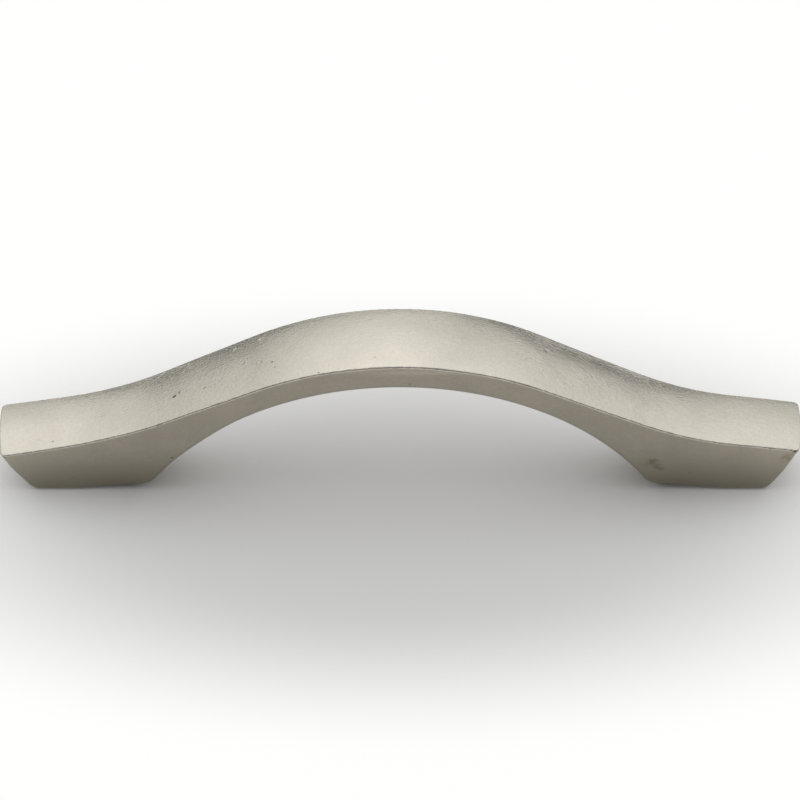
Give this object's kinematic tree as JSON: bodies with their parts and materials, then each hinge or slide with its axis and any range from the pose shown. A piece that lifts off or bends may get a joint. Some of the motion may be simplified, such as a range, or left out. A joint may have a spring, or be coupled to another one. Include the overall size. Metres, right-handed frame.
{
  "type": "cabinet arch pull",
  "caption": "Arched cabinet pull cast in a single piece: a domed grip sweeps down its flanks into flat feet, with blind tapped holes for screws from behind a drawer or door front.",
  "frame": {"origin": "midway between the screw holes, on the mounting face under the feet", "axes": "+X along the pull from hole to hole, +Y across its width, +Z away from the mounting face"},
  "size_m": [0.124, 0.013, 0.0291],
  "materials": {
    "satin_nickel": "satin nickel plate on zinc die-casting alloy, hand-polished along its length"
  },
  "bodies": {
    "root": {"arch_pull": "satin_nickel"}
  },
  "joints": []
}
